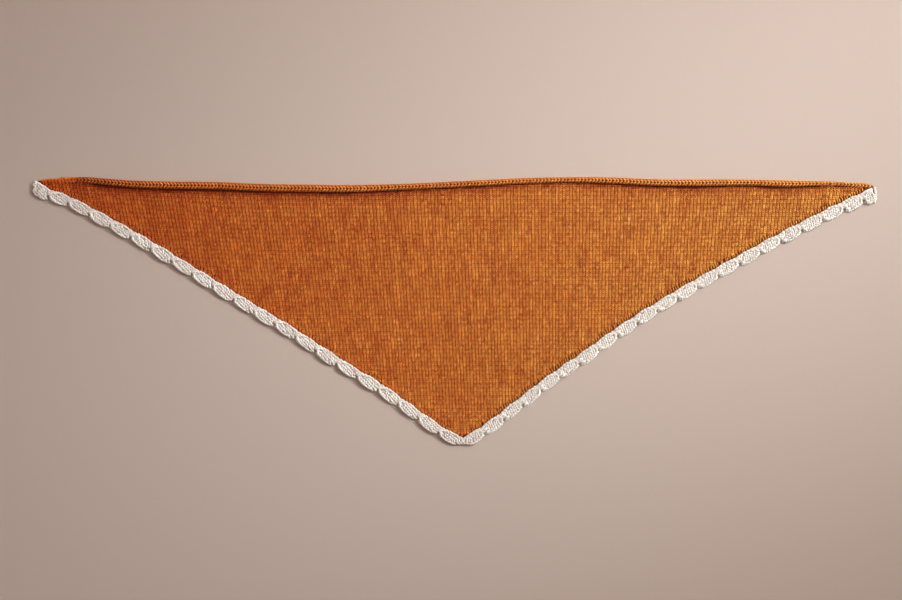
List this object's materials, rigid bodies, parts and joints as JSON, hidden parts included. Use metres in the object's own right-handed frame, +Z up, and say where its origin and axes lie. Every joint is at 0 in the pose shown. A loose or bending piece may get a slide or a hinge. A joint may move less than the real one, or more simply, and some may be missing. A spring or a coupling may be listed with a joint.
{
  "type": "knitted bandana",
  "caption": "Triangular knitted bandana laid flat: stockinette panel, knitted cord along the long edge, scalloped edging along both lower sides.",
  "frame": {"origin": "middle of the bounding box on the flat underside, within a millimetre", "axes": "+X along the long corded edge, to the right as worn side up; +Y from the point towards the corded edge; +Z up from the surface that it lies on, out of the right side of the knitting"},
  "size_m": [0.9719, 0.3091, 0.0059],
  "materials": {
    "rust_panel": "matt rust-orange wool, knitted in stockinette",
    "rust_cord": "matt rust-orange wool, knitted as a narrow cord",
    "cream_edging": "matt pinkish-cream wool, knitted as a scalloped edging"
  },
  "bodies": {
    "root": {"main_panel": "rust_panel", "top_cord": "rust_cord", "edging_left": "cream_edging", "edging_right": "cream_edging"}
  },
  "joints": []
}
